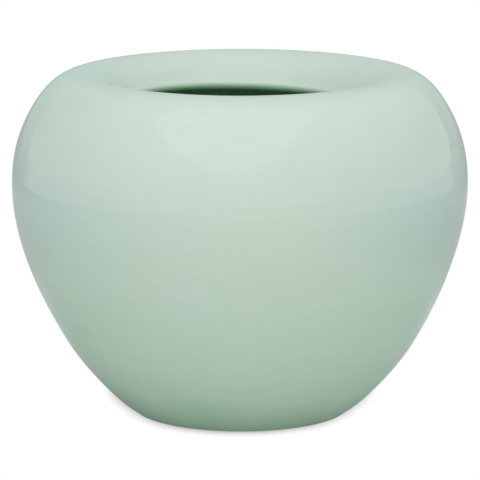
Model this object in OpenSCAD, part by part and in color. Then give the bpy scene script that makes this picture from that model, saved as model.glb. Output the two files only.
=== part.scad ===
// Brush holder pot: a wide, thrown and luted stoneware pot with a celadon glaze.
// The shoulder rolls over a soft ridge and slopes back down to a sunken mouth.
// Millimetres, +Z up. The origin is the centre of the foot, on the table.
//
// How it is made, from the clay out:
//   lower_body   thrown bowl, from the turned base up to the luting seam at the belly
//   luting_slip  band of slip in the keyed seam that joins the two thrown halves
//   upper_body   thrown upper half: side, shoulder ridge, inward slope and lip
//   foot_ring    ring luted under the base, its rim wiped clean of glaze
//   outer_glaze  glaze coat from the foot, over the shoulder, to the middle of the lip
//   inner_glaze  glaze coat from the middle of the lip down to the floor of the well
//   base_glaze   glaze in the recess inside the foot ring

/* [Foot] */
// Diameter of the foot, at the line where the glaze stops
foot_d = 69.2; // [66:0.2:72]
// Width of the bare rim of the foot ring
foot_w = 4.4; // [3.6:0.1:6]
// Height of the glaze line above the table
foot_h = 0.4; // [0.3:0.05:1]
// Height of the luted joint above the table, which is also the depth of the recess in the clay
joint_z = 3.2; // [2.6:0.1:4]

/* [Haunch] */
// Radius of the haunch point, between the turned base and the thrown side
haunch_r = 56; // [54:0.2:58]
// Height of the haunch point
haunch_z = 21.4; // [19.5:0.1:23.5]
// Slope of the wall there, from the horizontal
haunch_slope = 56.4; // [52:0.2:60]

/* [Belly] */
// Widest diameter of the pot
belly_d = 150; // [142:1:158]
// Height of the widest point, where the luting seam lies
belly_z = 76; // [73:0.5:79]

/* [Shoulder] */
// Radius of the shoulder point, where the straight side ends
shoulder_r = 69.3; // [67.5:0.1:70.5]
// Height of the shoulder point
shoulder_z = 99.6; // [98:0.2:101]
// Slope of the side there, from the horizontal
shoulder_slope = 61.6; // [58:0.2:65]
// Diameter of the shoulder ridge, the highest circle of the pot
ridge_d = 106.2; // [102:0.2:110]
// Overall height of the pot
pot_h = 112.7; // [111.5:0.1:115]

/* [Mouth] */
// Clear diameter of the mouth
mouth_d = 72.4; // [66:0.2:78]
// Height of the point where the inward slope meets the rounded lip
lip_z = 104; // [103:0.1:105.2]
// Downward slope of the shoulder where it reaches the lip
lip_slope = 45.8; // [41:0.2:50]
// Thickness of the rounded lip, glaze included
lip_t = 3.4; // [3:0.1:4.6]

/* [Wall] */
// Wall thickness at the ridge, glaze included
ridge_t = 5.0; // [4.6:0.1:6]
// Wall thickness at the belly, glaze included
wall_t = 5.2; // [4.6:0.1:6.5]
// Wall thickness at the haunch, glaze included
haunch_t = 6.4; // [5.4:0.1:7.5]
// Height of the glazed floor of the well above the table
floor_z = 8.6; // [8:0.1:10]
// Thickness of the glaze coat
glaze_t = 0.6; // [0.4:0.05:0.9]

/* [Seam] */
// Thickness of the slip in the keyed seam
slip_t = 0.6; // [0.3:0.1:1]
// Depth of the key in the seam
key_h = 1.6; // [0.8:0.1:2.4]

/* [Curves] */
// Slope of the underside as it leaves the foot, from the horizontal
foot_slope = 4; // [2:1:12]
// Length of the underside curve's handle at the foot
foot_pull = 4.2; // [3:0.1:5]
// Handle below the haunch point
haunch_pull_down = 8.4; // [7:0.1:11]
// Handle above the haunch point
haunch_pull_up = 5.4; // [4:0.1:9]
// Handle below the belly
belly_pull_down = 24; // [20:0.1:26]
// Handle above the belly
belly_pull_up = 12; // [8:0.1:14]
// Handle below the shoulder point
shoulder_pull_down = 5.0; // [3:0.1:8]
// Handle above the shoulder point
shoulder_pull_up = 6.3; // [5:0.1:7.5]
// Handle outside the ridge
ridge_pull_out = 8.2; // [7:0.1:9.5]
// Handle inside the ridge
ridge_pull_in = 3.6; // [3:0.1:6]
// Handle above the lip
lip_pull = 10.8; // [8:0.1:12]

/* [Hidden] */
$fn = 180;
foot_r = foot_d / 2;
belly_r = belly_d / 2;
ridge_r = ridge_d / 2;
lip_q = lip_t / 2;                                        // radius of the rounded lip
lip_r = mouth_d / 2 + lip_q * (1 - sin(lip_slope));       // radius where the lip's round begins
foot_in = foot_r - foot_w;                                // inner radius of the foot ring
rim_in = 0.6;                                             // rounding of the rim on the inside
rim_out = 0.25;                                           // rounding of the rim on the outside
cove_r = 0.6;                                             // fillet of the glaze in the recess
clay_col = [0.80, 0.72, 0.60];
slip_col = [0.74, 0.66, 0.55];
glaze_col = [0.71, 0.80, 0.73];

// ---- curves: each point of the outside is [point, outward unit normal, wall thickness there]

// Cubic Bezier point and direction
function bz(a, b, c, d, t) = pow(1 - t, 3) * a + 3 * pow(1 - t, 2) * t * b + 3 * (1 - t) * t * t * c + pow(t, 3) * d;
function bd(a, b, c, d, t) = 3 * pow(1 - t, 2) * (b - a) + 6 * (1 - t) * t * (c - b) + 3 * t * t * (d - c);
// Direction at an angle from the +R axis, and the outward normal of a path that climbs the outside
function dir(a) = [cos(a), sin(a)];
function outward(v) = [v[1], -v[0]] / norm(v);
function ease(t) = t * t * (3 - 2 * t);
// One stretch of the outside, from a to d, with the wall going from thickness w0 to w1; a grade above 1 crowds
// the points towards a, where the curve is tight
function stretch(a, b, c, d, w0, w1, n, from = 0, grade = 1) =
    [for (i = [from:n]) let (t = pow(i / n, grade)) [bz(a, b, c, d, t), outward(bd(a, b, c, d, t)), w0 + (w1 - w0) * ease(t)]];

p_foot = [foot_r, foot_h];
p_haunch = [haunch_r, haunch_z];
p_belly = [belly_r, belly_z];
p_shoulder = [shoulder_r, shoulder_z];
p_ridge = [ridge_r, pot_h];
p_lip = [lip_r, lip_z];
u_haunch = dir(haunch_slope);
u_shoulder = dir(180 - shoulder_slope);
u_lip = dir(180 + lip_slope);

underside = stretch(p_foot, p_foot + foot_pull * dir(foot_slope), p_haunch - haunch_pull_down * u_haunch, p_haunch,
    haunch_t, haunch_t, 16, 0, 1.5);
lower_side = stretch(p_haunch, p_haunch + haunch_pull_up * u_haunch, p_belly - [0, belly_pull_down], p_belly,
    haunch_t, wall_t, 16);
upper_side = stretch(p_belly, p_belly + [0, belly_pull_up], p_shoulder - shoulder_pull_down * u_shoulder, p_shoulder,
    wall_t, wall_t, 10);
roll_over = stretch(p_shoulder, p_shoulder + shoulder_pull_up * u_shoulder, p_ridge + [ridge_pull_out, 0], p_ridge,
    wall_t, ridge_t, 16, 1);
inward_slope = stretch(p_ridge, p_ridge - [ridge_pull_in, 0], p_lip - lip_pull * u_lip, p_lip,
    ridge_t, lip_t, 14, 1);
upper_out = concat(upper_side, roll_over, inward_slope);

// A path sunk below the outside by depth d, and the path of the inside, held back by depth d towards the clay
function sunk(path, d) = [for (q = path) q[0] - d * q[1]];
function inside(path, d = 0) = [for (q = path) q[0] - (q[2] - d) * q[1]];
function rev(v) = [for (i = [len(v) - 1:-1:0]) v[i]];
function tail(v) = [for (i = [1:len(v) - 1]) v[i]];

// The lip's round about its centre, from the slope's end (turn 0) to the inside (turn 180), at radius q
lip_c = p_lip - lip_q * outward(u_lip);
function lip_arc(q, a0, a1, n = 12) = [for (i = [0:n]) let (a = 90 + lip_slope + a0 + (a1 - a0) * i / n) lip_c + q * dir(a)];

// Floor of the well: from the inside of the haunch to the axis, at depth d into the clay
haunch_in = p_haunch - haunch_t * outward(u_haunch);
function well_floor(d, n = 14) = let (a = haunch_in + d * outward(u_haunch), z = floor_z - d)
    [for (i = [1:n]) bz(a, a - 19 * u_haunch, [30, z], [0, z], i / n)];

// ---- profiles

// Where the underside of the clay crosses the luted joint's height
clay_under = sunk(underside, glaze_t);
cross_i = [for (i = [0:len(clay_under) - 2]) if (clay_under[i][1] <= joint_z && clay_under[i + 1][1] > joint_z) i][0];
cross_r = let (a = clay_under[cross_i], b = clay_under[cross_i + 1]) a[0] + (b[0] - a[0]) * (joint_z - a[1]) / (b[1] - a[1]);
clay_above = [for (i = [cross_i + 1:len(clay_under) - 1]) clay_under[i]];
clay_below = [for (i = [0:cross_i]) clay_under[i]];

// The keyed seam, from the outside of the clay to its inside; the key points down
seam_o = belly_r - glaze_t;
seam_i = belly_r - wall_t + glaze_t;
function seam(dz) = [[seam_o, belly_z + dz], [(seam_o * 2 + seam_i) / 3, belly_z + dz - key_h],
    [(seam_o + seam_i * 2) / 3, belly_z + dz - key_h], [seam_i, belly_z + dz]];
// The halves stop short of the belly line by half the slip, so their ends are cut at those heights
function upto(v, z) = concat([for (q = v) if (q[1] < z - 0.05) q]);
function above(v, z) = concat([for (q = v) if (q[1] > z + 0.05) q]);

module lower_body() color(clay_col) rotate_extrude() polygon(concat(
    [[0, joint_z], [cross_r, joint_z]],
    clay_above,
    upto(tail(sunk(lower_side, glaze_t)), belly_z - slip_t / 2),
    seam(-slip_t / 2),
    rev(upto(inside(lower_side, glaze_t), belly_z - slip_t / 2)),
    well_floor(glaze_t)));

module luting_slip() color(slip_col) rotate_extrude() polygon(concat(seam(-slip_t / 2), rev(seam(slip_t / 2))));

module upper_body() color(clay_col) rotate_extrude() polygon(concat(
    above(sunk(upper_out, glaze_t), belly_z + slip_t / 2),
    tail(lip_arc(lip_q - glaze_t, 0, 180)),
    rev(above(inside([for (i = [0:len(upper_out) - 2]) upper_out[i]], glaze_t), belly_z + slip_t / 2)),
    rev(seam(slip_t / 2))));

// The bare rim stands straight below the glaze line; above it the clay runs glaze_t inside the glaze
module foot_ring() color(clay_col) rotate_extrude() polygon(concat(
    [for (a = [180:30:270]) [foot_in + rim_in, rim_in] + rim_in * dir(a)],
    [for (a = [270:30:360]) [foot_r - rim_out, rim_out] + rim_out * dir(a)],
    [p_foot],
    clay_below,
    [[cross_r, joint_z], [foot_in, joint_z]]));

module outer_glaze() color(glaze_col) rotate_extrude() polygon(concat(
    [for (q = underside) q[0]],
    tail([for (q = lower_side) q[0]]),
    tail([for (q = upper_out) q[0]]),
    tail(lip_arc(lip_q, 0, 90, 6)),
    rev(lip_arc(lip_q - glaze_t, 0, 90, 6)),
    rev(above(sunk([for (i = [0:len(upper_out) - 2]) upper_out[i]], glaze_t), belly_z + slip_t / 2)),
    [[seam_o, belly_z + slip_t / 2], [seam_o, belly_z - slip_t / 2]],
    rev(upto(tail(sunk(lower_side, glaze_t)), belly_z - slip_t / 2)),
    rev(clay_above), [[cross_r, joint_z]],
    rev(clay_below)));

module inner_glaze() color(glaze_col) rotate_extrude() polygon(concat(
    rev(lip_arc(lip_q - glaze_t, 90, 180, 6)),
    lip_arc(lip_q, 90, 180, 6),
    rev(inside([for (i = [1:len(upper_out) - 2]) upper_out[i]])),
    rev(inside(lower_side)),
    well_floor(0),
    rev(well_floor(glaze_t)),
    upto(inside(lower_side, glaze_t), belly_z - slip_t / 2),
    [[seam_i, belly_z - slip_t / 2], [seam_i, belly_z + slip_t / 2]],
    above(inside([for (i = [0:len(upper_out) - 2]) upper_out[i]], glaze_t), belly_z + slip_t / 2)));

module base_glaze() color(glaze_col) rotate_extrude() polygon(concat(
    [[0, joint_z], [0, joint_z - glaze_t]],
    [for (i = [0:5]) let (a = 90 - i * 18) [foot_in - cove_r, joint_z - glaze_t - cove_r] + cove_r * dir(a)],
    [[foot_in, joint_z]]));

lower_body();
luting_slip();
upper_body();
foot_ring();
outer_glaze();
inner_glaze();
base_glaze();
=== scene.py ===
import math

import bpy
import numpy as np
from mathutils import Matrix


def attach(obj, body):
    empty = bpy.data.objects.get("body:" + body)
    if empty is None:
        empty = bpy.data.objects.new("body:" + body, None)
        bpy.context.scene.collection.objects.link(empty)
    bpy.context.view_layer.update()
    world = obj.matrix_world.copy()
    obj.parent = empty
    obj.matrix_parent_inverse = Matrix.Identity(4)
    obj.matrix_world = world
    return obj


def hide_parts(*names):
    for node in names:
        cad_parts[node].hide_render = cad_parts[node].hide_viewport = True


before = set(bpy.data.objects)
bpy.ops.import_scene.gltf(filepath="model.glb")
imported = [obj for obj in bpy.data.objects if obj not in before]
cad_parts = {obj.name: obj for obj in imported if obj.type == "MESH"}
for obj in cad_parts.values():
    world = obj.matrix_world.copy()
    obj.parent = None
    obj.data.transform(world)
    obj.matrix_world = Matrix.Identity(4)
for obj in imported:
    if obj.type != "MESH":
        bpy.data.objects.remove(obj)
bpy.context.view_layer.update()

MM = 0.001
scene = bpy.context.scene
scene.view_settings.view_transform = "Standard"
scene.view_settings.look = "None"

# ---------------------------------------------------------------- camera
CAM_EL = math.radians(10.97)
CAM_D = 1.2
CAM_Z = 0.05652
cam_data = bpy.data.cameras.new("camera")
cam_data.sensor_width = 36.0
cam_data.lens = 36.0 * 3628.4 / 480.0
cam_data.clip_start = 0.05
cam_data.clip_end = 50.0
cam = bpy.data.objects.new("camera", cam_data)
scene.collection.objects.link(cam)
cam.location = (0.0, -CAM_D * math.cos(CAM_EL), CAM_Z + CAM_D * math.sin(CAM_EL))
cam.rotation_euler = (math.pi / 2 - CAM_EL, 0.0, 0.0)
scene.camera = cam

# ---------------------------------------------------------------- profile, as in the CAD, in mm
FOOT_R, FOOT_H, FOOT_W, JOINT_Z = 34.6, 0.4, 4.4, 3.2
BELLY_R, BELLY_Z = 75.0, 76.0
WALL_RIDGE, WALL, WALL_HAUNCH = 5.0, 5.2, 6.4
FLOOR_Z, GLAZE = 8.6, 0.6
LIP_Q, LIP_SLOPE = 1.7, 45.8
MOUTH_R = 36.2
SLIP, KEY = 0.6, 1.6
RIDGE_R, POT_H = 53.1, 112.7
TAU = 2 * math.pi


def V(x, z):
    return np.array([float(x), float(z)])


def head(angle):
    return V(math.cos(math.radians(angle)), math.sin(math.radians(angle)))


P_FOOT, P_HAUNCH, P_BELLY, P_SHOULDER, P_RIDGE = V(FOOT_R, FOOT_H), V(56, 21.4), V(BELLY_R, BELLY_Z), V(69.3, 99.6), V(RIDGE_R, POT_H)
P_LIP = V(MOUTH_R + LIP_Q * (1 - math.sin(math.radians(LIP_SLOPE))), 104.0)
U_HAUNCH, U_SHOULDER, U_LIP = head(56.4), head(180 - 61.6), head(180 + LIP_SLOPE)
STRETCHES = {
    "underside": (P_FOOT, P_FOOT + 4.2 * head(4), P_HAUNCH - 8.4 * U_HAUNCH, P_HAUNCH, WALL_HAUNCH, WALL_HAUNCH),
    "lower": (P_HAUNCH, P_HAUNCH + 5.4 * U_HAUNCH, P_BELLY - V(0, 24), P_BELLY, WALL_HAUNCH, WALL),
    "upper": (P_BELLY, P_BELLY + V(0, 12), P_SHOULDER - 5.0 * U_SHOULDER, P_SHOULDER, WALL, WALL),
    "roll": (P_SHOULDER, P_SHOULDER + 6.3 * U_SHOULDER, P_RIDGE + V(8.2, 0), P_RIDGE, WALL, WALL_RIDGE),
    "slope": (P_RIDGE, P_RIDGE - V(3.6, 0), P_LIP - 10.8 * U_LIP, P_LIP, WALL_RIDGE, 2 * LIP_Q),
}
LIP_C = P_LIP - LIP_Q * V(U_LIP[1], -U_LIP[0])


def stretch(name, n, grade=1.0):
    """Points, outward normals and wall thickness along one stretch of the outside, climbing the pot."""
    a, b, c, d, w0, w1 = STRETCHES[name]
    t = (np.arange(n + 1) / n) ** grade
    t = t[:, None]
    p = (1 - t) ** 3 * a + 3 * (1 - t) ** 2 * t * b + 3 * (1 - t) * t * t * c + t**3 * d
    g = (1 - t) ** 2 * (b - a) + 2 * (1 - t) * t * (c - b) + t * t * (d - c)
    g /= np.linalg.norm(g, axis=1)[:, None]
    e = t[:, 0] ** 2 * (3 - 2 * t[:, 0])
    return p, np.stack([g[:, 1], -g[:, 0]], 1), w0 + (w1 - w0) * e


def chain(*parts):
    """Joins stretches, leaving out each repeated joint point."""
    out = [parts[0]]
    for part in parts[1:]:
        out.append(tuple(v[1:] for v in part))
    return tuple(np.concatenate([o[i] for o in out]) for i in range(len(parts[0])))


def lip_arc(q, a0, a1, n):
    a = np.radians(90 + LIP_SLOPE + a0 + (a1 - a0) * np.arange(n + 1) / n)
    return LIP_C + q * np.stack([np.cos(a), np.sin(a)], 1)


def sunk(path, depth):
    return path[0] - depth * path[1]


def inside(path, depth=0.0):
    return path[0] - (path[2] - depth)[:, None] * path[1]


HAUNCH_IN = P_HAUNCH - WALL_HAUNCH * V(U_HAUNCH[1], -U_HAUNCH[0])


def well_floor(depth, n):
    """From the inside of the haunch down to the axis."""
    a = HAUNCH_IN + depth * V(U_HAUNCH[1], -U_HAUNCH[0])
    z = FLOOR_Z - depth
    b, c, d = a - 19 * U_HAUNCH, V(30, z), V(0, z)
    t = (np.arange(n + 1) / n)[:, None]
    return (1 - t) ** 3 * a + 3 * (1 - t) ** 2 * t * b + 3 * (1 - t) * t * t * c + t**3 * d


# ---------------------------------------------------------------- the hand of the maker
def smooth(x, a, b):
    t = np.clip((x - a) / (b - a), 0, 1)
    return t * t * (3 - 2 * t)


SHIFT_Z = [0, 8, 18, 30, 40, 50, 60, 68, 76, 85, 95, 103, 113]
SHIFT_X = [0.36, 0.38, 0.38, 0.23, 0.07, -0.03, -0.10, -0.08, -0.03, 0.0, 0.04, 0.05, 0.05]


def warp(co):
    """Thrown clay is never quite round. Every piece is warped alike, so neighbours stay face to face. Millimetres."""
    x, y, z = co[:, 0].copy(), co[:, 1].copy(), co[:, 2].copy()
    r = np.hypot(x, y)
    ang = np.arctan2(y, x)
    high = smooth(z, 60, 100)
    # the axis leans a little between the foot and the belly
    nx = x + np.interp(z, SHIFT_Z, SHIFT_X)
    # the ridge is level to a tenth of a millimetre, and the mouth sits half a millimetre higher at the left
    lip = smooth(RIDGE_R - r, 0, RIDGE_R - MOUTH_R) * high
    nz = z + high * 0.0018 * x - lip * (0.021 * x)
    # slight ovals, different at the belly and at the mouth
    oval = 1 + smooth(z, 2, 30) * (1 - lip) * 0.0007 * np.cos(2 * ang + 1.2) + lip * 0.004 * np.cos(2 * ang + 0.6) + lip * 0.003 * np.cos(3 * ang - 0.9)
    nx = (nx - 0) * oval
    ny = y * oval
    return np.stack([nx, ny, nz], 1)


def ripple(s, ang, z, r):
    """Throwing rings and soft unevenness of the glazed surface, along the normal, in millimetres."""
    k = TAU * s
    rings = 0.014 * np.sin(k / 17.3 + ang + 0.4) + 0.009 * np.sin(k / 11.1 + ang + 2.1) + 0.004 * np.sin(k / 6.7 - ang + 4.0)
    patch = 0.6 + 0.4 * np.sin(2 * ang + s / 14.0) * np.cos(ang - s / 31.0)
    dents = 0.030 * np.cos(3 * ang + s / 19.0) * np.sin(k / 61.0 + 0.8) + 0.016 * np.cos(7 * ang - s / 23.0 + 1.9) * np.sin(k / 43.0)
    return rings * patch + dents


def lathe(name, path, exposed=None, seg=384, axis_start=False, axis_end=False, detail=None):
    """A closed solid of revolution about Z from a closed profile in mm. exposed marks the points that carry the
    glaze's unevenness, detail adds to it. A profile that starts or ends on the axis gets a pole there."""
    path = np.asarray(path, float)
    n = len(path)
    exposed = np.zeros(n) if exposed is None else np.asarray(exposed, float)
    step = np.linalg.norm(np.diff(path, axis=0), axis=1)
    arc = np.concatenate([[0], np.cumsum(step)])
    nxt, prv = np.roll(path, -1, 0), np.roll(path, 1, 0)
    if axis_start:
        prv[0] = path[0]
    if axis_end:
        nxt[-1] = path[-1]
    tan = nxt - prv
    tan /= np.maximum(np.linalg.norm(tan, axis=1), 1e-9)[:, None]
    nor = np.stack([tan[:, 1], -tan[:, 0]], 1)
    ang = TAU * np.arange(seg) / seg
    ring_ids, verts = [], []
    count = 0
    for i in range(n):
        pole = (axis_start and i == 0) or (axis_end and i == n - 1)
        a = np.zeros(1) if pole else ang
        off = exposed[i] * ripple(arc[i], a, path[i, 1], path[i, 0]) if exposed[i] else 0 * a
        if detail is not None:
            off = off + detail(arc[i], a, path[i])
        rr = path[i, 0] + off * nor[i, 0]
        zz = path[i, 1] + off * nor[i, 1]
        if pole:
            rr = rr * 0
        verts.append(np.stack([rr * np.cos(a), rr * np.sin(a), zz], 1))
        ring_ids.append(np.arange(count, count + len(a)))
        count += len(a)
    co = warp(np.concatenate(verts)) * MM
    faces = []
    pairs = [(i, i + 1) for i in range(n - 1)]
    if not (axis_start or axis_end):
        pairs.append((n - 1, 0))
    for i, j in pairs:
        a, b = ring_ids[i], ring_ids[j]
        if len(a) == 1 and len(b) == 1:
            continue
        if len(a) == 1:
            faces += [(int(a[0]), int(b[(k + 1) % seg]), int(b[k])) for k in range(seg)]
        elif len(b) == 1:
            faces += [(int(a[k]), int(a[(k + 1) % seg]), int(b[0])) for k in range(seg)]
        else:
            faces += [(int(a[k]), int(a[(k + 1) % seg]), int(b[(k + 1) % seg]), int(b[k])) for k in range(seg)]
    me = bpy.data.meshes.new(name)
    me.from_pydata(co.tolist(), [], faces)
    me.validate()
    me.update()
    # the signed volume says which way the faces look
    tri = np.array([[f[0], f[q], f[q + 1]] for f in faces for q in range(1, len(f) - 1)])
    vol = np.einsum("ij,ij->i", co[tri[:, 0]], np.cross(co[tri[:, 1]], co[tri[:, 2]])).sum()
    if vol < 0:
        me.flip_normals()
    me.shade_smooth()
    me.set_sharp_from_angle(angle=math.radians(50))
    ob = bpy.data.objects.new(name, me)
    scene.collection.objects.link(ob)
    return ob


# ---------------------------------------------------------------- the pieces
under = stretch("underside", 34, 1.6)
low = stretch("lower", 58)
upp = stretch("upper", 24)
roll = stretch("roll", 34)
slope = stretch("slope", 32)
outside = chain(under, low, upp, roll, slope)

under_c = stretch("underside", 16, 1.5)
low_c = stretch("lower", 24)
upp_c = stretch("upper", 12)
roll_c = stretch("roll", 18)
slope_c = stretch("slope", 16)
outside_c = chain(under_c, low_c, upp_c, roll_c, slope_c)
upper_c = chain(upp_c, roll_c, slope_c)

clay_under = sunk(under_c, GLAZE)
k = int(np.argmax(clay_under[:, 1] > JOINT_Z))
f = (JOINT_Z - clay_under[k - 1, 1]) / (clay_under[k, 1] - clay_under[k - 1, 1])
CROSS = clay_under[k - 1] + f * (clay_under[k] - clay_under[k - 1])
clay_above, clay_below = clay_under[k:], clay_under[:k]

SEAM_O, SEAM_I = BELLY_R - GLAZE, BELLY_R - WALL + GLAZE


def seam(dz):
    z = BELLY_Z + dz
    return np.array([[SEAM_O, z], [(2 * SEAM_O + SEAM_I) / 3, z - KEY], [(SEAM_O + 2 * SEAM_I) / 3, z - KEY], [SEAM_I, z]])


def under_z(v, z):
    return v[v[:, 1] < z - 0.05]


def over_z(v, z):
    return v[v[:, 1] > z + 0.05]


HALF = SLIP / 2

# outer glaze: foot line, over the outside, to the middle of the lip, and back along the clay
exposed_path = np.concatenate([outside[0], lip_arc(LIP_Q, 0, 90, 16)[1:]])
back_path = np.concatenate([
    lip_arc(LIP_Q - GLAZE, 0, 90, 8)[::-1],
    sunk(outside_c, GLAZE)[:-1][::-1],
])
# the glaze ends at the foot in a small round bead, where it ran down and stopped just short of the table
bead = [(0.02, 0.90), (0.03, 0.40), (0.08, 0.18), (0.24, 0.08), (0.48, 0.07), (0.74, 0.14), (0.98, 0.27), (1.14, 0.39)]
roll_end = np.array([[FOOT_R + q, h] for q, h in bead])
exposed_full = np.concatenate([roll_end, exposed_path[8:]])
weights = np.concatenate([np.zeros(len(bead)), smooth(np.arange(len(exposed_path) - 8), 0, 10)])
mouth_fade = smooth(np.arange(len(exposed_full))[::-1], 0, 8)
weights = weights * mouth_fade
outer_path = np.concatenate([exposed_full, back_path])
glaze_outer = lathe("glaze_outer", outer_path, exposed=np.concatenate([weights, np.zeros(len(back_path))]))

# inner glaze: middle of the lip, under the shoulder, down the wall and over the floor of the well
inside_full = inside(chain(low, upp, roll, slope))[::-1]
in_exposed = np.concatenate([lip_arc(LIP_Q, 90, 180, 16), inside_full[1:], well_floor(0, 44)[1:]])
inside_c = inside(chain(low_c, upp_c, roll_c, slope_c), GLAZE)[::-1]
in_back = np.concatenate([lip_arc(LIP_Q - GLAZE, 90, 180, 8), inside_c[1:], well_floor(GLAZE, 20)[1:]])[::-1]
n_exp = len(in_exposed)
w_in = smooth(np.arange(n_exp), 0, 8) * smooth(np.arange(n_exp)[::-1], 1, 16)
inner_path = np.concatenate([in_back, in_exposed])
glaze_inner = lathe("glaze_inner", inner_path, exposed=np.concatenate([np.zeros(len(in_back)), 1.5 * w_in]), seg=320, axis_start=True, axis_end=True)

# upper clay
inner_clay_u = over_z(inside(upper_c, GLAZE)[:-1], BELLY_Z + HALF)[::-1]
upper_path = np.concatenate([
    over_z(sunk(upper_c, GLAZE), BELLY_Z + HALF),
    lip_arc(LIP_Q - GLAZE, 0, 180, 16)[1:],
    inner_clay_u,
    seam(HALF)[::-1],
])
clay_upper = lathe("clay_upper", upper_path, seg=256)

# lower clay
lower_path = np.concatenate([
    [[0, JOINT_Z], CROSS],
    clay_above,
    under_z(sunk(low_c, GLAZE)[1:], BELLY_Z - HALF),
    seam(-HALF),
    under_z(inside(low_c, GLAZE), BELLY_Z - HALF)[::-1],
    well_floor(GLAZE, 20)[1:],
])
clay_lower = lathe("clay_lower", lower_path, seg=256, axis_start=True, axis_end=True)

slip_path = np.concatenate([seam(-HALF), seam(HALF)[::-1]])
clay_slip = lathe("clay_slip", slip_path, seg=256)


# foot ring: a turned rim with worn, softly rounded edges and faint tool lines on its flat
def arc_pts(cx, cz, q, a0, a1, n):
    a = np.radians(np.linspace(a0, a1, n + 1))
    return np.stack([cx + q * np.cos(a), cz + q * np.sin(a)], 1)


foot_in = FOOT_R - FOOT_W
rim_flat = np.stack([np.linspace(foot_in + 0.6, FOOT_R - 0.25, 18), np.zeros(18)], 1)[1:-1]
foot_path = np.concatenate([
    arc_pts(foot_in + 0.6, 0.6, 0.6, 180, 270, 6),
    rim_flat,
    arc_pts(FOOT_R - 0.25, 0.25, 0.25, 270, 360, 4),
    [P_FOOT],
    clay_below,
    [CROSS, [foot_in, JOINT_Z], [foot_in, 2.4], [foot_in, 1.6]],
])


def foot_detail(s, a, p):
    """Turning lines in the bare flat, never proud of the plane the pot stands on."""
    if p[1] > 1e-6:
        return 0 * a
    u = (p[0] - foot_in) / FOOT_W
    return -0.035 * (0.5 + 0.5 * np.sin(TAU * (p[0] / 0.9) + a)) * math.sin(math.pi * min(max(u, 0), 1)) ** 0.5


clay_foot = lathe("clay_foot", foot_path, seg=384, detail=foot_detail)

# base glaze: a shallow pool in the recess, with a cove up the ring
base_n = 30
base_r = np.linspace(0, foot_in - 0.9, base_n)
pool = np.stack([base_r, JOINT_Z - GLAZE + 0 * base_r], 1)
base_exposed = np.concatenate([pool, arc_pts(foot_in - 0.75, JOINT_Z - GLAZE - 0.72, 0.72, 90, 4, 8)])
base_back = np.array([[foot_in, JOINT_Z - GLAZE - 0.70], [foot_in, JOINT_Z], [foot_in * 0.6, JOINT_Z], [0, JOINT_Z]])
base_w = np.concatenate([smooth(np.arange(len(base_exposed)), 0, 6) * smooth(np.arange(len(base_exposed))[::-1], 8, 14), np.zeros(len(base_back))])
glaze_base = lathe("glaze_base", np.concatenate([base_exposed, base_back]), exposed=base_w, seg=320, axis_start=True, axis_end=True)

PIECES = {
    glaze_outer: ("outer_glaze", "celadon_glaze"),
    glaze_inner: ("inner_glaze", "celadon_glaze_inside"),
    glaze_base: ("base_glaze", "celadon_glaze"),
    clay_upper: ("upper_body", "stoneware"),
    clay_lower: ("lower_body", "stoneware"),
    clay_slip: ("luting_slip", "slip"),
    clay_foot: ("foot_ring", "stoneware"),
}
for piece, (node, slot) in PIECES.items():
    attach(piece, "root")
    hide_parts(node)


# ---------------------------------------------------------------- materials
class Nodes:
    """Small helper: adds nodes to one tree and links values or sockets to their inputs."""

    def __init__(self, tree):
        self.tree = tree

    def add(self, kind, inputs=None, **props):
        n = self.tree.nodes.new(kind)
        for key, value in props.items():
            setattr(n, key, value)
        for key, value in (inputs or {}).items():
            sock = n.inputs[key]
            if isinstance(value, bpy.types.NodeSocket):
                self.tree.links.new(value, sock)
            else:
                sock.default_value = value
        return n

    def math(self, op, a, b=0.0, clamp=False):
        return self.add("ShaderNodeMath", {0: a, 1: b}, operation=op, use_clamp=clamp).outputs[0]

    def vec(self, op, a, b=(0, 0, 0)):
        return self.add("ShaderNodeVectorMath", {0: a, 1: b}, operation=op).outputs[0]

    def ramp(self, fac, stops, interp="EASE"):
        n = self.add("ShaderNodeValToRGB", {"Fac": fac})
        n.color_ramp.interpolation = interp
        while len(n.color_ramp.elements) < len(stops):
            n.color_ramp.elements.new(0.5)
        for e, (pos, col) in zip(n.color_ramp.elements, stops):
            e.position = pos
            e.color = (*col, 1) if isinstance(col, tuple) else (col, col, col, 1)
        return n.outputs["Color"]

    def mix(self, fac, a, b, blend="MIX"):
        n = self.add("ShaderNodeMix", data_type="RGBA", blend_type=blend)
        n.clamp_factor = True
        for sock, value in ((n.inputs[0], fac), (n.inputs[6], a), (n.inputs[7], b)):
            if isinstance(value, bpy.types.NodeSocket):
                self.tree.links.new(value, sock)
            elif isinstance(value, tuple):
                sock.default_value = (*value, 1)
            else:
                sock.default_value = value
        return n.outputs[2]

    def noise(self, vector, scale, detail=3.0, rough=0.5, out="Fac"):
        return self.add("ShaderNodeTexNoise", {"Vector": vector, "Scale": scale, "Detail": detail, "Roughness": rough}).outputs[out]

    def range(self, value, a, b, c=0.0, d=1.0, smoothstep=True):
        n = self.add("ShaderNodeMapRange", {"Value": value, "From Min": a, "From Max": b, "To Min": c, "To Max": d}, interpolation_type="SMOOTHSTEP" if smoothstep else "LINEAR")
        return n.outputs[0]


def new_material(name):
    m = bpy.data.materials.new(name)
    m.use_nodes = True
    m.node_tree.nodes.clear()
    t = Nodes(m.node_tree)
    out = t.add("ShaderNodeOutputMaterial")
    bsdf = t.add("ShaderNodeBsdfPrincipled")
    t.tree.links.new(bsdf.outputs[0], out.inputs["Surface"])
    obj = t.add("ShaderNodeTexCoord").outputs["Object"]
    mm = t.vec("SCALE", obj)
    mm.node.inputs["Scale"].default_value = 1000.0
    return m, t, bsdf, mm


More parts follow.
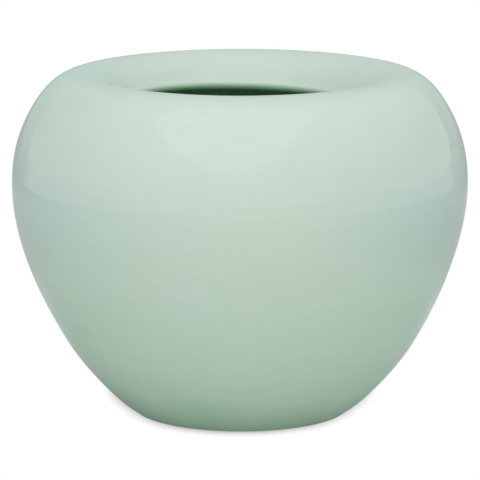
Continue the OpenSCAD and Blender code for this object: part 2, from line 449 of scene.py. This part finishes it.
def glaze(name, tones, base_rough, inside_painted_shade=None):
    """Celadon over pale clay: paler where it runs thin over an edge, greener where it pools low down, with faint
    horizontal streaks, soft clouds, a few pinholes and iron specks, and the shallow orange peel of a glossy glaze.
    Also painted into the colour: shade and a lighter band at the lip, a bluish reflection at the sides above the
    belly, and, for the inside, painted shade over the whole of it."""
    m, t, bsdf, p = new_material(name)
    sep = t.add("ShaderNodeSeparateXYZ", {0: p})
    z = sep.outputs[2]
    flat = t.vec("MULTIPLY", p, (0.07, 0.07, 1.0))
    streak = t.noise(flat, 0.50, 5.0, 0.62)
    broad = t.noise(t.vec("MULTIPLY", p, (0.30, 0.30, 1.0)), 0.070, 4.0, 0.55)
    mottle = t.noise(p, 0.22, 4.0, 0.6)
    cloud = t.noise(p, 0.020, 4.0, 0.55)
    cloud2 = t.noise(t.vec("ADD", p, (310.0, 40.0, -90.0)), 0.034, 3.0, 0.5)
    # height, softened and a little uneven round the pot
    zu = t.math("ADD", z, t.math("MULTIPLY", t.math("SUBTRACT", cloud, 0.5), 14.0))
    col = t.ramp(t.math("DIVIDE", zu, 115.0), [(q / 115, c) for q, c in tones], "LINEAR")
    col = t.mix(t.range(cloud2, 0.36, 0.66, 0.0, 0.30), col, t.mix(1.0, col, (0.945, 1.0, 1.015), "MULTIPLY"))
    col = t.mix(t.range(cloud, 0.38, 0.68, 0.0, 0.30), col, t.mix(1.0, col, (1.04, 1.005, 0.94), "MULTIPLY"))
    col = t.mix(t.range(streak, 0.35, 0.70, 0.0, 1.0), col, t.mix(1.0, col, (0.976, 0.984, 0.979), "MULTIPLY"))
    col = t.mix(t.range(broad, 0.35, 0.68, 0.0, 1.0), col, t.mix(1.0, col, (1.012, 1.006, 1.010), "MULTIPLY"))
    col = t.mix(t.range(mottle, 0.35, 0.68, 0.0, 1.0), col, t.mix(1.0, col, (0.990, 0.994, 0.989), "MULTIPLY"))
    # pinholes and iron specks, well apart
    vor = t.add("ShaderNodeTexVoronoi", {"Vector": p, "Scale": 0.105, "Randomness": 1.0}, feature="F1")
    dist = vor.outputs["Distance"]
    pick = t.add("ShaderNodeSeparateColor", {0: vor.outputs["Color"]})
    chosen = t.math("GREATER_THAN", pick.outputs[0], 0.72)
    size = t.range(pick.outputs[1], 0.0, 1.0, 0.018, 0.045, False)
    dot = t.math("MULTIPLY", t.math("SUBTRACT", 1.0, t.math("DIVIDE", dist, size), True), chosen)
    speck = t.range(dot, 0.0, 0.8, 0.0, 0.42)
    col = t.mix(speck, col, (0.24, 0.33, 0.25))
    # darker and greener where the lip turns in: partly glaze that ran together, partly painted shade and green bounce
    # light under the lip; on the outside a thin band just above it is painted lighter, a painted highlight against the
    # lip's shading; inside, the lip is painted darker as shade. The mouth sits a little higher at the left
    sx = t.math("MULTIPLY", sep.outputs[0], sep.outputs[0])
    reach = t.math("SQRT", t.math("ADD", sx, t.math("MULTIPLY", sep.outputs[1], sep.outputs[1])))
    level = t.math("ADD", z, t.math("MULTIPLY", sep.outputs[0], 0.0192))
    if inside_painted_shade:
        turn = [(99.5, (1.0, 1.0, 1.0)), (101.2, (0.74, 0.78, 0.72)), (105.0, (0.74, 0.78, 0.72))]
    else:
        turn = [(101.5, (0.45, 0.70, 0.47)), (102.0, (0.52, 0.79, 0.55)), (102.5, (0.68, 0.91, 0.71)), (103.0, (0.86, 1.0, 0.845)), (103.4, (0.96, 1.02, 0.95)), (103.9, (1.05, 1.05, 1.04)), (104.7, (1.04, 1.03, 1.03)), (105.6, (1.0, 1.0, 1.0))]
    lip_pool_and_painted_light = t.ramp(t.math("DIVIDE", t.math("SUBTRACT", level, 99.0), 7.0, True), [((q - 99.0) / 7.0, c) for q, c in turn], "LINEAR")
    turned = t.math("MULTIPLY", t.range(reach, 37.6, 38.6, 1.0, 0.0), t.range(z, 92.0, 98.0))
    col = t.mix(turned, col, t.mix(1.0, col, lip_pool_and_painted_light, "MULTIPLY"))
    # a cooler band above the belly, strongest at the sides: a painted reflection of the bluish surround at the grazing
    # sides; facing front and back the same band is made a little warmer
    aside = t.math("DIVIDE", sx, t.math("MAXIMUM", t.math("MULTIPLY", reach, reach), 1.0))
    painted_side_reflection = t.math("MULTIPLY", t.math("MULTIPLY", t.range(z, 46.0, 68.0), t.range(z, 80.0, 94.0, 1.0, 0.0)), t.range(aside, 0.1, 0.7))
    col = t.mix(painted_side_reflection, col, t.mix(1.0, col, (0.980, 1.002, 1.032), "MULTIPLY"))
    warm = t.math("MULTIPLY", t.math("MULTIPLY", t.range(z, 52.0, 66.0), t.range(z, 80.0, 90.0, 1.0, 0.0)), t.range(aside, 0.1, 0.5, 1.0, 0.0))
    col = t.mix(warm, col, t.mix(1.0, col, (0.985, 0.990, 0.972), "MULTIPLY"))
    # painted shade: the whole inside is made darker and greener, for the dim light inside the pot
    if inside_painted_shade:
        col = t.mix(1.0, col, inside_painted_shade, "MULTIPLY")
    t.tree.links.new(col, bsdf.inputs["Base Color"])
    # gloss
    r = t.math("ADD", base_rough, t.math("MULTIPLY", t.math("SUBTRACT", cloud2, 0.5), 0.03))
    r = t.math("ADD", r, t.math("MULTIPLY", t.math("SUBTRACT", streak, 0.5), 0.03))
    r = t.math("ADD", r, t.math("MULTIPLY", speck, 0.35), True)
    t.tree.links.new(r, bsdf.inputs["Roughness"])
    bsdf.inputs["IOR"].default_value = 1.52
    bsdf.inputs["Specular IOR Level"].default_value = 0.5
    bsdf.inputs["Coat Weight"].default_value = 0.0
    # relief: orange peel, fine turning lines seen through the glaze, pinholes
    peel = t.noise(p, 0.20, 2.0, 0.45)
    fine = t.noise(t.vec("MULTIPLY", p, (0.05, 0.05, 1.0)), 0.55, 4.0, 0.6)
    h = t.math("ADD", t.math("MULTIPLY", peel, 0.016), t.math("MULTIPLY", fine, 0.010))
    h = t.math("SUBTRACT", h, t.math("MULTIPLY", dot, 0.03))
    bump = t.add("ShaderNodeBump", {"Strength": 1.0, "Distance": 0.001, "Height": h})
    t.tree.links.new(bump.outputs[0], bsdf.inputs["Normal"])
    return m


def clay(name, pale, dark, rough, grit):
    """Bare fired stoneware: buff, with iron freckles, sandy grain and turning lines."""
    m, t, bsdf, p = new_material(name)
    grain = t.noise(p, 1.6, 6.0, 0.65)
    blot = t.noise(p, 0.10, 4.0, 0.55)
    lines = t.noise(t.vec("MULTIPLY", p, (0.04, 0.04, 1.0)), 1.2, 4.0, 0.6)
    col = t.mix(t.range(blot, 0.32, 0.70), pale, dark)
    col = t.mix(t.range(grain, 0.35, 0.75, 0.0, 0.5), col, t.mix(1.0, col, (0.80, 0.76, 0.70), "MULTIPLY"))
    vor = t.add("ShaderNodeTexVoronoi", {"Vector": p, "Scale": 0.9, "Randomness": 1.0}, feature="F1")
    pick = t.add("ShaderNodeSeparateColor", {0: vor.outputs["Color"]})
    dot = t.math("MULTIPLY", t.range(vor.outputs["Distance"], 0.16, 0.30, 1.0, 0.0), t.math("GREATER_THAN", pick.outputs[0], 0.80))
    col = t.mix(t.math("MULTIPLY", dot, 0.55), col, (0.20, 0.11, 0.06))
    t.tree.links.new(col, bsdf.inputs["Base Color"])
    r = t.math("ADD", rough, t.math("MULTIPLY", t.math("SUBTRACT", grain, 0.5), 0.25), True)
    t.tree.links.new(r, bsdf.inputs["Roughness"])
    bsdf.inputs["IOR"].default_value = 1.5
    h = t.math("ADD", t.math("MULTIPLY", grain, grit), t.math("MULTIPLY", lines, grit * 0.6))
    bump = t.add("ShaderNodeBump", {"Strength": 1.0, "Distance": 0.001, "Height": h})
    t.tree.links.new(bump.outputs[0], bsdf.inputs["Normal"])
    return m


# the glaze's own colour by height in mm: greener and deeper where it ran down and pooled, paler where it thinned
TONES = [
    (0, (0.342, 0.552, 0.379)),
    (3, (0.381, 0.596, 0.424)),
    (8, (0.448, 0.652, 0.493)),
    (14, (0.538, 0.717, 0.568)),
    (20, (0.548, 0.720, 0.582)),
    (33, (0.559, 0.715, 0.602)),
    (50, (0.573, 0.712, 0.614)),
    (68, (0.566, 0.690, 0.610)),
    (86, (0.579, 0.689, 0.623)),
    (96, (0.588, 0.693, 0.633)),
    (106, (0.601, 0.704, 0.640)),
    (113, (0.615, 0.714, 0.652)),
]
glaze_mat = glaze("celadon_glaze", TONES, 0.052)
# the inside glaze carries painted shade, darker and greener all over
inner_mat = glaze("celadon_glaze_inside", TONES, 0.09, inside_painted_shade=(0.56, 0.72, 0.55))
clay_mat = clay("stoneware", (0.66, 0.55, 0.42), (0.55, 0.42, 0.30), 0.82, 0.05)
foot_mat = clay("stoneware_rim", (0.60, 0.44, 0.30), (0.46, 0.30, 0.19), 0.78, 0.04)
slip_mat = clay("slip", (0.58, 0.49, 0.38), (0.50, 0.41, 0.31), 0.85, 0.02)
for piece, mat in ((glaze_outer, glaze_mat), (glaze_inner, inner_mat), (glaze_base, glaze_mat), (clay_upper, clay_mat), (clay_lower, clay_mat), (clay_slip, slip_mat), (clay_foot, foot_mat)):
    piece.data.materials.clear()
    piece.data.materials.append(mat)
for name, mat in (("outer_glaze", glaze_mat), ("inner_glaze", inner_mat), ("base_glaze", glaze_mat), ("upper_body", clay_mat), ("lower_body", clay_mat), ("luting_slip", slip_mat), ("foot_ring", foot_mat)):
    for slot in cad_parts[name].material_slots:
        slot.material = mat

# ---------------------------------------------------------------- stage
FLOOR_ALBEDO = 0.45
FLOOR_FAR = 0.33
# light coming off the table, by distance (near, middle, far) and by side (front, right, back, left)
FLOOR_GLOW = {
    "near": (0.184, 0.152, 0.351, 0.097),
    "mid": (0.505, 0.0, 0.133, 0.024),
    "far": (0.434, 0.109, 0.05, 0.0),
}
# the white tent round the pot: brightness at even steps of azimuth from the back by the left, at five heights
TENT_EL = [3, 18, 36, 60, 90]
TENT = [
    [0.652, 0.541, 0.523, 0.922, 0.947, 0.743, 0.734, 0.737],
    [0.506, 0.58, 0.757, 1.029, 1.124, 0.845, 0.844, 0.688],
    [0.535, 0.435, 0.696, 0.994, 1.006, 0.723, 0.765, 0.744],
    [0.599, 0.748, 0.811, 0.921],
    [1.304],
]
BACKDROP = (0.50, 0.485)
KEY = 0.586
HEM, WALL_EDGE = 0.16, 0.02

fm = bpy.data.meshes.new("floor")
fm.from_pydata([(-6, -6, 0), (6, -6, 0), (6, 6, 0), (-6, 6, 0)], [], [(0, 1, 2, 3)])
floor = bpy.data.objects.new("floor", fm)
scene.collection.objects.link(floor)
m = bpy.data.materials.new("floor_paper")
m.use_nodes = True
m.node_tree.nodes.clear()
t = Nodes(m.node_tree)
out = t.add("ShaderNodeOutputMaterial")
# what the pot sees: a pale table, brighter on the side of the lights
pos = t.add("ShaderNodeNewGeometry").outputs["Position"]
dist = t.add("ShaderNodeVectorMath", {0: pos}, operation="LENGTH").outputs["Value"]
sp = t.add("ShaderNodeSeparateXYZ", {0: pos})
far_r = t.math("MAXIMUM", dist, 1e-4)
fx = t.math("DIVIDE", sp.outputs[0], far_r)
fy = t.math("DIVIDE", t.math("MULTIPLY", sp.outputs[1], -1.0), far_r)
side = [t.math("POWER", t.math("MAXIMUM", t.math("MULTIPLY", q, sign), 0.0), 2.0) for q, sign in ((fy, 1.0), (fx, 1.0), (fy, -1.0), (fx, -1.0))]
near_w = t.range(dist, 0.12, 0.20, 1.0, 0.0)
far_w = t.range(dist, 0.40, 0.60, 0.0, 1.0)
mid_w = t.math("SUBTRACT", t.math("SUBTRACT", 1.0, near_w), far_w)
glow, cast = 0.0, 0.0
for ring, w in (("near", near_w), ("mid", mid_w), ("far", far_w)):
    for value, s_w, fore in zip(FLOOR_GLOW[ring], side, (True, False, False, False)):
        if value:
            add = t.math("MULTIPLY", t.math("MULTIPLY", w, s_w), value)
            if fore:
                glow = t.math("ADD", glow, add)
            else:
                cast = t.math("ADD", cast, add)
# the table's colour falls from FLOOR_ALBEDO near the pot to FLOOR_FAR far out: painted shade, for the far table
# getting less light
table = t.add("ShaderNodeBsdfDiffuse", {"Color": t.mix(far_w, (FLOOR_ALBEDO,) * 3, (FLOOR_FAR,) * 3)})
shine = t.add("ShaderNodeEmission", {"Color": (1, 1, 1, 1), "Strength": glow})
shine2 = t.add("ShaderNodeEmission", {"Color": (0.88, 1.12, 1.03, 1), "Strength": cast})
# past the edge of the table the tent goes on below it
beyond = t.math("MULTIPLY", t.math("MULTIPLY", t.range(dist, 0.585, 0.62), t.range(fy, -0.69, -0.63, 0.15, 1.0)), 0.34)
shine3 = t.add("ShaderNodeEmission", {"Color": (0.97, 1.01, 1.0, 1), "Strength": beyond})
lit = t.add("ShaderNodeAddShader", {0: shine.outputs[0], 1: t.add("ShaderNodeAddShader", {0: shine2.outputs[0], 1: shine3.outputs[0]}).outputs[0]})
seen = t.add("ShaderNodeAddShader", {0: table.outputs[0], 1: lit.outputs[0]})
# what the eye sees: white paper with a painted contact shadow, a soft dark line where the pot meets it, widest in
# front; behind the pot the painted shadow comes from an ambient occlusion node instead
fore = t.range(sp.outputs[1], 0.0, -0.031, 0.0, 1.0, False)
spread = t.math("ADD", t.math("MULTIPLY", t.math("MULTIPLY", fore, fore), 0.072), 0.588)
px = t.math("DIVIDE", t.math("MULTIPLY", sp.outputs[0], 1000.0), spread)
py = t.math("SUBTRACT", t.math("MULTIPLY", sp.outputs[1], 1000.0), 38.0)
rho = t.math("SQRT", t.math("ADD", t.math("MULTIPLY", px, px), t.math("MULTIPLY", py, py)))
away = t.math("DIVIDE", t.math("SUBTRACT", rho, 72.2), 9.2, True)
a = t.ramp(away, [(0.0, 0.45), (0.143, 0.558), (0.287, 0.658), (0.426, 0.761), (0.574, 0.847), (0.713, 0.913), (0.852, 0.965), (1.0, 1.0)], "LINEAR")
near_ao = t.add("ShaderNodeAmbientOcclusion", {"Distance": 0.005}, samples=16)
b = t.range(near_ao.outputs["AO"], 0.35, 1.0, 0.45, 1.0, False)
c = t.mix(t.range(py, -18.0, 0.0), a, b)
paper_and_painted_shadow = t.add("ShaderNodeEmission", {"Color": (1, 1, 1, 1), "Strength": c})
path = t.add("ShaderNodeLightPath")
both = t.add("ShaderNodeMixShader", {0: path.outputs["Is Camera Ray"], 1: seen.outputs[0], 2: paper_and_painted_shadow.outputs[0]})
t.tree.links.new(both.outputs[0], out.inputs["Surface"])
fm.materials.append(m)

world = bpy.data.worlds.new("studio")
scene.world = world
world.use_nodes = True
world.node_tree.nodes.clear()
t = Nodes(world.node_tree)
out = t.add("ShaderNodeOutputWorld")
d = t.add("ShaderNodeVectorMath", {0: t.add("ShaderNodeTexCoord").outputs["Generated"]}, operation="NORMALIZE").outputs[0]
sep = t.add("ShaderNodeSeparateXYZ", {0: d})
dx, dy, dz = sep.outputs[0], sep.outputs[1], sep.outputs[2]
el = t.math("MULTIPLY", t.math("ARCSINE", dz), 180 / math.pi)
front = t.math("DIVIDE", t.math("MULTIPLY", dy, -1.0), t.math("MAXIMUM", t.math("SQRT", t.math("ADD", t.math("MULTIPLY", dx, dx), t.math("MULTIPLY", dy, dy))), 1e-4))
# azimuth, 0.5 towards the camera, 0 and 1 behind the pot, more to the right
turn = t.math("ADD", t.math("DIVIDE", t.math("ARCTAN2", dx, t.math("MULTIPLY", dy, -1.0)), TAU), 0.5)
env = None
for j, row in enumerate(TENT):
    n = len(row)
    if n == 1:
        level = (row[0] / 4,) * 3
    else:
        level = t.ramp(turn, [(i / n, row[i % n] / 4) for i in range(n + 1)], "LINEAR")
    env = level if env is None else t.mix(t.range(el, TENT_EL[j - 1], TENT_EL[j], 0.0, 1.0, False), env, level)
env = t.vec("SCALE", env)
env.node.inputs["Scale"].default_value = 4.0
# a large soft key high in front, its lower edge a blunt V
v_edge = t.ramp(turn, [(q / 360 + 0.5, e / 90) for q, e in ((-180, 90), (-110, 75), (-68, 53), (-50, 45), (-36, 37.7), (-19, 27.5), (-3, 21.6), (11, 27.8), (28, 43), (47, 54.7), (74, 63), (110, 78), (180, 90))], "LINEAR")
over = t.math("SUBTRACT", el, t.math("MULTIPLY", v_edge, 90.0))
key = t.math("MULTIPLY", t.math("MULTIPLY", t.range(over, -2.0, 2.0), t.range(el, 70.0, 80.0, 1.0, 0.0)), KEY)
env = t.vec("ADD", env, key)
# the tent's side walls are brightest at their back edges, and its hem is brighter than the table
hem = t.range(el, 0.0, 14.0, HEM, 0.0)
wall = t.math("MULTIPLY", t.range(front, 0.05, -0.50, 0.0, WALL_EDGE), t.range(el, 24.0, 46.0, 1.0, 0.0))
env = t.vec("ADD", env, t.math("ADD", hem, wall))
env = t.mix(t.range(front, 0.6, 0.0), env, t.mix(1.0, env, (0.96, 1.02, 0.975), "MULTIPLY"))
# the tent is open to the back, where a greyer backdrop hangs up to 33 degrees
back_w = t.range(el, 0.0, 34.0, -0.70, -1.02, False)
back = t.math("MULTIPLY", t.range(t.math("SUBTRACT", back_w, front), 0.0, 0.03, 0.0, 1.0), t.range(el, 31.0, 35.0, 1.0, 0.0))
drop = t.range(el, 0.0, 30.0, BACKDROP[0], BACKDROP[1], False)
drop = t.math("MULTIPLY", drop, t.range(front, -0.93, -0.76, 1.04, 0.74, False))
env = t.mix(back, env, t.vec("MULTIPLY", (0.92, 1.15, 1.06), drop))
path = t.add("ShaderNodeLightPath")
col = t.mix(path.outputs["Is Camera Ray"], env, (1.0, 1.0, 1.0))
bg = t.add("ShaderNodeBackground", {"Color": col, "Strength": 1.0})
t.tree.links.new(bg.outputs[0], out.inputs["Surface"])
